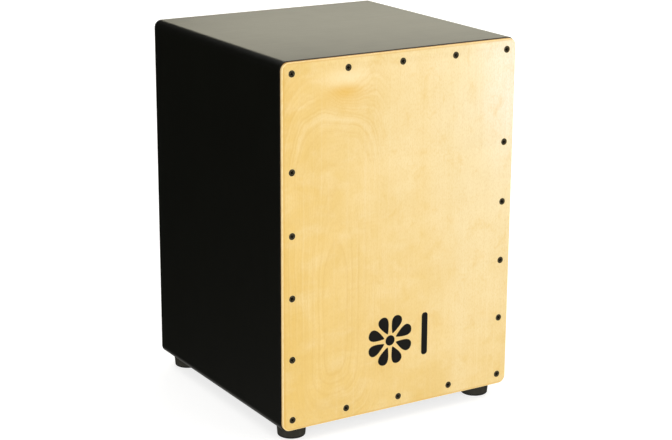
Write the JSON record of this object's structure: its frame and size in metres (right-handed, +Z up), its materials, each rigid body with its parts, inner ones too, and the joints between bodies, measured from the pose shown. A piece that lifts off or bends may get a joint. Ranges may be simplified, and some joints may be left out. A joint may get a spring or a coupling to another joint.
{
  "type": "cajon",
  "caption": "Box drum with a thin screwed-on wooden playing plate, black rounded body, rubber feet, a rear sound hole and inner snares on a turning bar.",
  "frame": {"origin": "on the floor, under the middle of the box", "axes": "+Z up, -Y is the side of the playing plate, +X is to the right of someone who looks at the plate"},
  "size_m": [0.3, 0.298, 0.424],
  "materials": {
    "birch_face": "satin lacquer over pale birch veneer",
    "black_body": "satin black paint on fibreboard",
    "raw_pine": "planed, unfinished",
    "beech": "turned, sanded",
    "rubber": "matte moulded rubber",
    "black_steel": "blackened screws",
    "bright_steel": "plated steel"
  },
  "bodies": {
    "root": {"top_panel": "black_body", "bottom_panel": "black_body", "left_side_panel": "black_body", "right_side_panel": "black_body", "back_panel": "black_body", "front_plate": "birch_face", "front_plate_screws": "black_steel", "front_batten_top": "raw_pine", "front_batten_bottom": "raw_pine", "front_batten_left": "raw_pine", "front_batten_right": "raw_pine", "rear_batten_top": "raw_pine", "rear_batten_bottom": "raw_pine", "rear_batten_left": "raw_pine", "rear_batten_right": "raw_pine", "corner_block_top_left": "raw_pine", "corner_block_top_right": "raw_pine", "corner_block_bottom_left": "raw_pine", "corner_block_bottom_right": "raw_pine", "foot_front_left": "rubber", "foot_front_right": "rubber", "foot_rear_left": "rubber", "foot_rear_right": "rubber", "foot_washers": "bright_steel", "foot_screws": "black_steel", "snare_block_left": "raw_pine", "snare_block_right": "raw_pine", "snare_block_screws": "black_steel"},
    "snare": {"snare_bar": "beech", "snare_clip_left": "bright_steel", "snare_clip_right": "bright_steel", "snare_wires_left": "bright_steel", "snare_wires_right": "bright_steel", "snare_clip_screws": "bright_steel"}
  },
  "joints": [
    {"name": "snare_bar_pivot", "type": "hinge", "parent": "root", "child": "snare", "pos_m": [0, -0.113, 0.285], "axis": [1, 0, 0], "range_deg": [-15, 0]}
  ]
}
